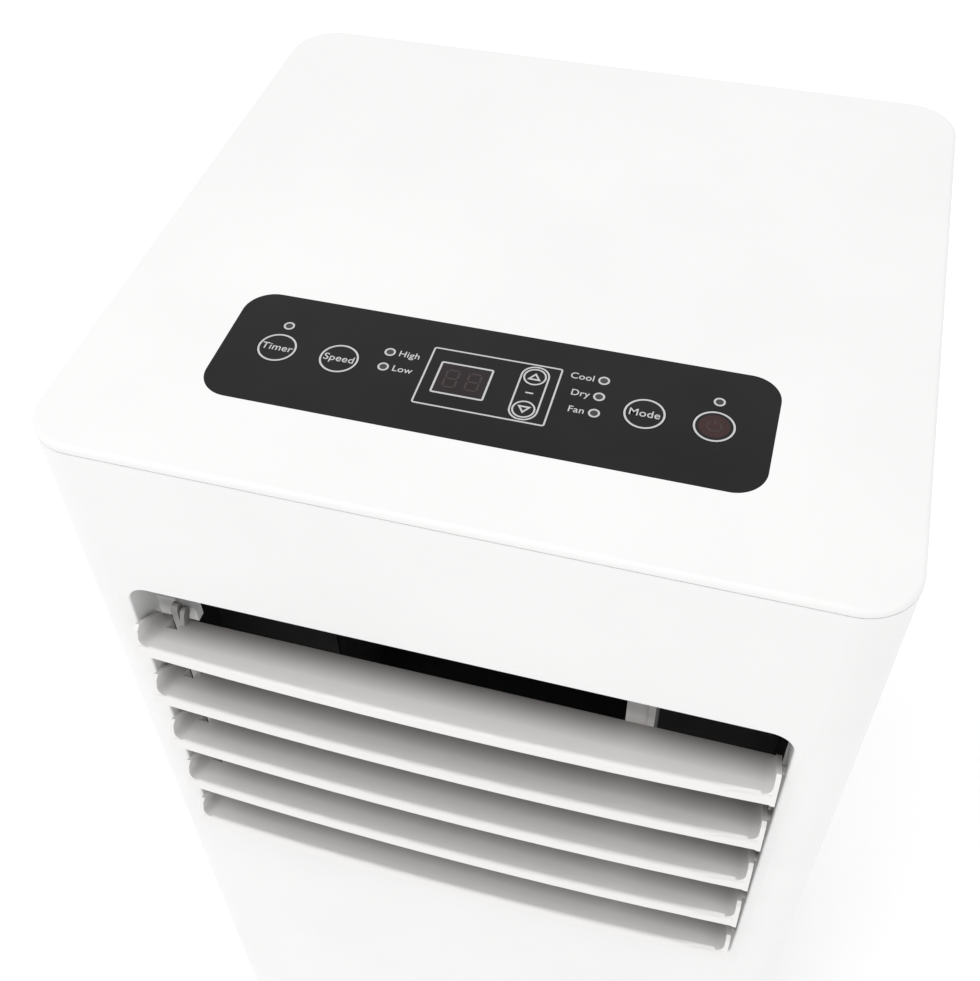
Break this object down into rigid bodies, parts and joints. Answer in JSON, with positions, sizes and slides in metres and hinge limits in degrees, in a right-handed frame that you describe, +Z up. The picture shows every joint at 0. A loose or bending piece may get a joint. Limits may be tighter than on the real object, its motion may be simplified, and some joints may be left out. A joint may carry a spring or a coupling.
{
  "type": "portable air conditioner",
  "caption": "Free-standing portable air conditioner: white case on casters, black touch panel on top, tilting front louvres, rear filter cassette and round exhaust collar.",
  "frame": {"origin": "on the floor, midway between the sides and midway between the front louvre lips and the rear end of the exhaust collar", "axes": "+Z up, the louvres face -Y, +X is to the right of someone who looks at the louvres"},
  "size_m": [0.33, 0.3402, 0.69],
  "materials": {
    "case_white": "satin moulded",
    "louvre_white": "satin moulded",
    "panel_black": "gloss film",
    "key_black": "gloss film",
    "power_red": "gloss film",
    "smoked_lens": "smoked gloss",
    "lamp_lens": "frosted",
    "board_green": "lacquered board",
    "component_dark": "moulded",
    "duct_black": "moulded",
    "blower_black": "moulded",
    "strut_grey": "satin moulded",
    "fan_black": "moulded",
    "coil_metal": "finned",
    "copper_pipe": "drawn tube",
    "motor_steel": "pressed",
    "compressor_black": "baked enamel",
    "box_steel": "galvanised",
    "rubber_black": "moulded",
    "screw_steel": "zinc plated",
    "tray_white": "moulded",
    "filter_dark": "moulded net",
    "wheel_dark": "moulded",
    "hood_grey": "moulded"
  },
  "bodies": {
    "casing": {"base_pan": "case_white", "front_cover": "case_white", "rear_cover": "case_white", "top_cover": "case_white", "grip_cup_left": "case_white", "grip_cup_right": "case_white", "control_fascia": "panel_black", "display_window": "smoked_lens", "indicator_lenses": "lamp_lens", "display_board": "board_green", "key_switches": "component_dark", "digit_display": "component_dark", "outlet_strut": "strut_grey", "outlet_duct": "duct_black", "evaporator_scroll": "blower_black", "evaporator_fan_motor": "motor_steel", "condenser_scroll": "blower_black", "condenser_fan_motor": "motor_steel", "exhaust_duct": "duct_black", "exhaust_collar": "case_white", "evaporator_coil": "coil_metal", "condenser_coil": "coil_metal", "drain_tray": "tray_white", "compressor": "compressor_black", "compressor_grommets": "rubber_black", "compressor_bolts": "screw_steel", "accumulator": "copper_pipe", "discharge_line": "copper_pipe", "suction_line": "copper_pipe", "capillary_tube": "copper_pipe", "electrical_box": "box_steel", "main_board": "board_green", "cord_gland": "rubber_black", "drain_nipple": "case_white", "cover_screws": "screw_steel"},
    "louvre_1": {"louvre_1": "louvre_white"},
    "louvre_2": {"louvre_2": "louvre_white"},
    "louvre_3": {"louvre_3": "louvre_white"},
    "louvre_4": {"louvre_4": "louvre_white"},
    "louvre_5": {"louvre_5": "louvre_white"},
    "louvre_link_bar": {"louvre_link_bar": "louvre_white"},
    "timer_key": {"timer_key": "key_black"},
    "speed_key": {"speed_key": "key_black"},
    "up_key": {"up_key": "key_black"},
    "down_key": {"down_key": "key_black"},
    "mode_key": {"mode_key": "key_black"},
    "power_key": {"power_key": "power_red"},
    "evaporator_fan": {"evaporator_fan": "fan_black"},
    "condenser_fan": {"condenser_fan": "fan_black"},
    "filter_cassette": {"intake_grille": "case_white", "filter_mesh": "filter_dark"},
    "drain_plug": {"drain_plug": "rubber_black"},
    "caster_hood_front_left": {"caster_hood_front_left": "hood_grey"},
    "caster_wheels_front_left": {"caster_wheels_front_left": "wheel_dark"},
    "caster_hood_front_right": {"caster_hood_front_right": "hood_grey"},
    "caster_wheels_front_right": {"caster_wheels_front_right": "wheel_dark"},
    "caster_hood_rear_left": {"caster_hood_rear_left": "hood_grey"},
    "caster_wheels_rear_left": {"caster_wheels_rear_left": "wheel_dark"},
    "caster_hood_rear_right": {"caster_hood_rear_right": "hood_grey"},
    "caster_wheels_rear_right": {"caster_wheels_rear_right": "wheel_dark"}
  },
  "joints": [
    {"name": "louvre_1_tilt", "type": "hinge", "parent": "casing", "child": "louvre_1", "pos_m": [0, -0.149, 0.5745], "axis": [-1, 0, 0], "range_deg": [-42, 68]},
    {"name": "louvre_2_tilt", "type": "hinge", "parent": "casing", "child": "louvre_2", "pos_m": [0, -0.149, 0.5363], "axis": [-1, 0, 0], "range_deg": [-42, 68]},
    {"name": "louvre_3_tilt", "type": "hinge", "parent": "casing", "child": "louvre_3", "pos_m": [0, -0.149, 0.4981], "axis": [-1, 0, 0], "range_deg": [-42, 68]},
    {"name": "louvre_4_tilt", "type": "hinge", "parent": "casing", "child": "louvre_4", "pos_m": [0, -0.149, 0.4599], "axis": [-1, 0, 0], "range_deg": [-42, 68]},
    {"name": "louvre_5_tilt", "type": "hinge", "parent": "casing", "child": "louvre_5", "pos_m": [0, -0.149, 0.4217], "axis": [-1, 0, 0], "range_deg": [-42, 68]},
    {"name": "link_bar_pivot", "type": "hinge", "parent": "louvre_1", "child": "louvre_link_bar", "pos_m": [-0.1268, -0.14222, 0.57756], "axis": [-1, 0, 0], "range_deg": [-68, 42]},
    {"name": "timer_key_press", "type": "slide", "parent": "casing", "child": "timer_key", "axis": [0, 0, -1], "range_m": [0, 0.0008], "stiffness_N_per_m": 500, "springref_m": -0.0012},
    {"name": "speed_key_press", "type": "slide", "parent": "casing", "child": "speed_key", "axis": [0, 0, -1], "range_m": [0, 0.0008], "stiffness_N_per_m": 500, "springref_m": -0.0012},
    {"name": "up_key_press", "type": "slide", "parent": "casing", "child": "up_key", "axis": [0, 0, -1], "range_m": [0, 0.0008], "stiffness_N_per_m": 500, "springref_m": -0.0012},
    {"name": "down_key_press", "type": "slide", "parent": "casing", "child": "down_key", "axis": [0, 0, -1], "range_m": [0, 0.0008], "stiffness_N_per_m": 500, "springref_m": -0.0012},
    {"name": "mode_key_press", "type": "slide", "parent": "casing", "child": "mode_key", "axis": [0, 0, -1], "range_m": [0, 0.0008], "stiffness_N_per_m": 500, "springref_m": -0.0012},
    {"name": "power_key_press", "type": "slide", "parent": "casing", "child": "power_key", "axis": [0, 0, -1], "range_m": [0, 0.0008], "stiffness_N_per_m": 500, "springref_m": -0.0012},
    {"name": "evaporator_fan_spin", "type": "hinge", "parent": "casing", "child": "evaporator_fan", "pos_m": [0, -0.006, 0.5049], "axis": [1, 0, 0], "continuous": true},
    {"name": "condenser_fan_spin", "type": "hinge", "parent": "casing", "child": "condenser_fan", "pos_m": [0.07, 0.016, 0.235], "axis": [1, 0, 0], "continuous": true},
    {"name": "filter_cassette_pull", "type": "slide", "parent": "casing", "child": "filter_cassette", "axis": [0, 1, 0], "range_m": [0, 0.06]},
    {"name": "drain_plug_pull", "type": "slide", "parent": "casing", "child": "drain_plug", "axis": [0, 1, 0], "range_m": [0, 0.03]},
    {"name": "caster_swivel_front_left", "type": "hinge", "parent": "casing", "child": "caster_hood_front_left", "pos_m": [-0.125, -0.112, 0.044], "axis": [0, 0, 1], "continuous": true},
    {"name": "caster_roll_front_left", "type": "hinge", "parent": "caster_hood_front_left", "child": "caster_wheels_front_left", "pos_m": [-0.125, -0.123, 0.018], "axis": [1, 0, 0], "continuous": true},
    {"name": "caster_swivel_front_right", "type": "hinge", "parent": "casing", "child": "caster_hood_front_right", "pos_m": [0.125, -0.112, 0.044], "axis": [0, 0, 1], "continuous": true},
    {"name": "caster_roll_front_right", "type": "hinge", "parent": "caster_hood_front_right", "child": "caster_wheels_front_right", "pos_m": [0.125, -0.123, 0.018], "axis": [1, 0, 0], "continuous": true},
    {"name": "caster_swivel_rear_left", "type": "hinge", "parent": "casing", "child": "caster_hood_rear_left", "pos_m": [-0.125, 0.112, 0.044], "axis": [0, 0, 1], "continuous": true},
    {"name": "caster_roll_rear_left", "type": "hinge", "parent": "caster_hood_rear_left", "child": "caster_wheels_rear_left", "pos_m": [-0.125, 0.101, 0.018], "axis": [1, 0, 0], "continuous": true},
    {"name": "caster_swivel_rear_right", "type": "hinge", "parent": "casing", "child": "caster_hood_rear_right", "pos_m": [0.125, 0.112, 0.044], "axis": [0, 0, 1], "continuous": true},
    {"name": "caster_roll_rear_right", "type": "hinge", "parent": "caster_hood_rear_right", "child": "caster_wheels_rear_right", "pos_m": [0.125, 0.101, 0.018], "axis": [1, 0, 0], "continuous": true}
  ],
  "couplings": [
    {"joint": "louvre_2_tilt", "follows": "louvre_1_tilt", "ratio": 1},
    {"joint": "louvre_3_tilt", "follows": "louvre_1_tilt", "ratio": 1},
    {"joint": "louvre_4_tilt", "follows": "louvre_1_tilt", "ratio": 1},
    {"joint": "louvre_5_tilt", "follows": "louvre_1_tilt", "ratio": 1},
    {"joint": "link_bar_pivot", "follows": "louvre_1_tilt", "ratio": -1}
  ]
}
